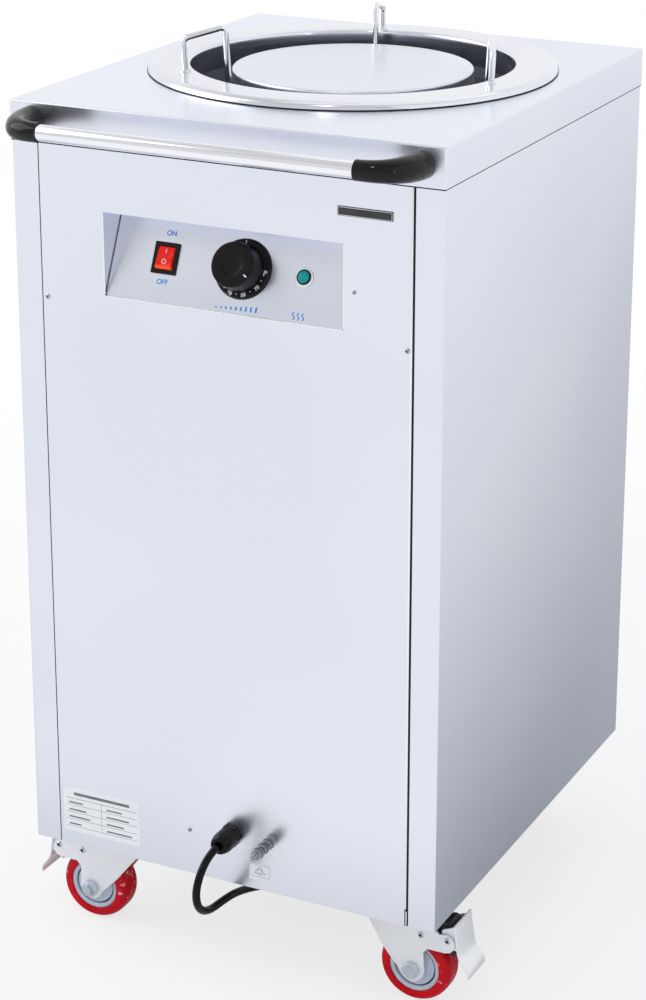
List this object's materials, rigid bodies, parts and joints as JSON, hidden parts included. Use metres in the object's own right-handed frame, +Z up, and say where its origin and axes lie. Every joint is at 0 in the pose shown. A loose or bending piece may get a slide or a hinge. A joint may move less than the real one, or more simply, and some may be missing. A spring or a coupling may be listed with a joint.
{
  "type": "heated plate dispenser cart",
  "caption": "Square stainless steel plate dispenser on swivel casters, with a sprung round well, hinged wire plate guides, a push handle and a sloping control recess.",
  "frame": {"origin": "on the floor below the middle of the cart, measured without the cord", "axes": "+Z up, the front with the handle and the controls faces -Y, +X is the right side as seen from the front"},
  "size_m": [0.491, 0.5708, 0.931],
  "materials": {
    "stainless": "satin",
    "polished_steel": "polished",
    "well_steel": "satin",
    "heater_sheath": "matte",
    "spring_steel": "satin",
    "black_gloss": "gloss",
    "rocker_red": "gloss",
    "lamp_teal": "gloss",
    "black_matte": "satin",
    "cord_rubber": "gloss",
    "zinc": "satin",
    "tyre_red": "gloss",
    "hub_grey": "satin",
    "box_plastic": "matte"
  },
  "bodies": {
    "cabinet": {"top_cover": "stainless", "side_panel_left": "stainless", "side_panel_right": "stainless", "front_panel": "stainless", "back_panel": "stainless", "base_panel": "stainless", "control_pan": "stainless", "top_ring": "polished_steel", "guide_rod_1": "polished_steel", "guide_rod_2": "polished_steel", "guide_rod_3": "polished_steel", "handle_bar": "polished_steel", "well_barrel": "well_steel", "heater_element": "heater_sheath", "lift_spring_1": "spring_steel", "lift_spring_2": "spring_steel", "lift_spring_3": "spring_steel", "switch_bezel": "black_gloss", "lamp_bezel": "black_gloss", "handle_elbow_left": "black_gloss", "handle_elbow_right": "black_gloss", "lamp_lens": "lamp_teal", "gland_body": "black_matte", "gland_nut": "black_matte", "plug": "black_matte", "power_cord": "cord_rubber", "cord_coil": "cord_rubber", "earth_stud": "zinc", "caster_plate_front_left": "zinc", "caster_plate_front_right": "zinc", "caster_plate_rear_left": "zinc", "caster_plate_rear_right": "zinc", "thermostat": "box_plastic", "terminal_box": "box_plastic"},
    "carrier": {"carrier_disc": "stainless", "carrier_frame": "well_steel"},
    "guide_right": {"plate_guide_1": "polished_steel"},
    "guide_back": {"plate_guide_2": "polished_steel"},
    "guide_left": {"plate_guide_3": "polished_steel"},
    "switch": {"switch_rocker": "rocker_red"},
    "knob": {"thermostat_knob": "black_matte", "thermostat_spindle": "zinc"},
    "caster_front_left": {"caster_fork_front_left": "zinc", "axle_front_left": "zinc"},
    "wheel_front_left": {"tyre_front_left": "tyre_red", "hub_front_left": "hub_grey"},
    "brake_front_left": {"brake_pedal_front_left": "zinc"},
    "caster_front_right": {"caster_fork_front_right": "zinc", "axle_front_right": "zinc"},
    "wheel_front_right": {"tyre_front_right": "tyre_red", "hub_front_right": "hub_grey"},
    "brake_front_right": {"brake_pedal_front_right": "zinc"},
    "caster_rear_left": {"caster_fork_rear_left": "zinc", "axle_rear_left": "zinc"},
    "wheel_rear_left": {"tyre_rear_left": "tyre_red", "hub_rear_left": "hub_grey"},
    "caster_rear_right": {"caster_fork_rear_right": "zinc", "axle_rear_right": "zinc"},
    "wheel_rear_right": {"tyre_rear_right": "tyre_red", "hub_rear_right": "hub_grey"}
  },
  "joints": [
    {"name": "carrier_lift", "type": "slide", "parent": "cabinet", "child": "carrier", "axis": [0, 0, 1], "range_m": [-0.34, 0], "stiffness_N_per_m": 580, "springref_m": 0.055, "deforming": ["lift_spring_1", "lift_spring_2", "lift_spring_3"]},
    {"name": "guide_right_swing", "type": "hinge", "parent": "cabinet", "child": "guide_right", "pos_m": [0.16741, 0.01414, 0.8875], "axis": [0.054, -0.0141, 0.9984], "range_deg": [-6.2, 103.8]},
    {"name": "guide_back_swing", "type": "hinge", "parent": "cabinet", "child": "guide_back", "pos_m": [-0.04594, 0.22454, 0.8875], "axis": [-0.0148, 0.0538, 0.9984], "range_deg": [-55, 55]},
    {"name": "guide_left_swing", "type": "hinge", "parent": "cabinet", "child": "guide_left", "pos_m": [-0.12147, -0.06543, 0.8875], "axis": [-0.0392, -0.0397, 0.9984], "range_deg": [-52, 58]},
    {"name": "switch_rock", "type": "hinge", "parent": "cabinet", "child": "switch", "pos_m": [-0.0696, -0.20103, 0.73894], "axis": [1, 0, 0], "range_deg": [0, 16]},
    {"name": "knob_turn", "type": "hinge", "parent": "cabinet", "child": "knob", "pos_m": [0.013, -0.2002, 0.73834], "axis": [0, -0.9107, 0.4131], "range_deg": [-270, 0]},
    {"name": "swivel_front_left", "type": "hinge", "parent": "cabinet", "child": "caster_front_left", "pos_m": [-0.154, -0.16245, 0.09], "axis": [0, 0, 1], "continuous": true},
    {"name": "roll_front_left", "type": "hinge", "parent": "caster_front_left", "child": "wheel_front_left", "pos_m": [-0.184, -0.16245, 0.038], "axis": [0, 1, 0], "continuous": true},
    {"name": "brake_front_left", "type": "hinge", "parent": "caster_front_left", "child": "brake_front_left", "pos_m": [-0.222, -0.16245, 0.079], "axis": [0, 1, 0], "range_deg": [0, 12]},
    {"name": "swivel_front_right", "type": "hinge", "parent": "cabinet", "child": "caster_front_right", "pos_m": [0.154, -0.16245, 0.09], "axis": [0, 0, 1], "continuous": true},
    {"name": "roll_front_right", "type": "hinge", "parent": "caster_front_right", "child": "wheel_front_right", "pos_m": [0.184, -0.16245, 0.038], "axis": [0, 1, 0], "continuous": true},
    {"name": "brake_front_right", "type": "hinge", "parent": "caster_front_right", "child": "brake_front_right", "pos_m": [0.222, -0.16245, 0.079], "axis": [0, -1, 0], "range_deg": [0, 12]},
    {"name": "swivel_rear_left", "type": "hinge", "parent": "cabinet", "child": "caster_rear_left", "pos_m": [-0.154, 0.22195, 0.09], "axis": [0, 0, 1], "continuous": true},
    {"name": "roll_rear_left", "type": "hinge", "parent": "caster_rear_left", "child": "wheel_rear_left", "pos_m": [-0.124, 0.22195, 0.038], "axis": [0, 1, 0], "continuous": true},
    {"name": "swivel_rear_right", "type": "hinge", "parent": "cabinet", "child": "caster_rear_right", "pos_m": [0.154, 0.22195, 0.09], "axis": [0, 0, 1], "continuous": true},
    {"name": "roll_rear_right", "type": "hinge", "parent": "caster_rear_right", "child": "wheel_rear_right", "pos_m": [0.124, 0.22195, 0.038], "axis": [0, 1, 0], "continuous": true}
  ]
}
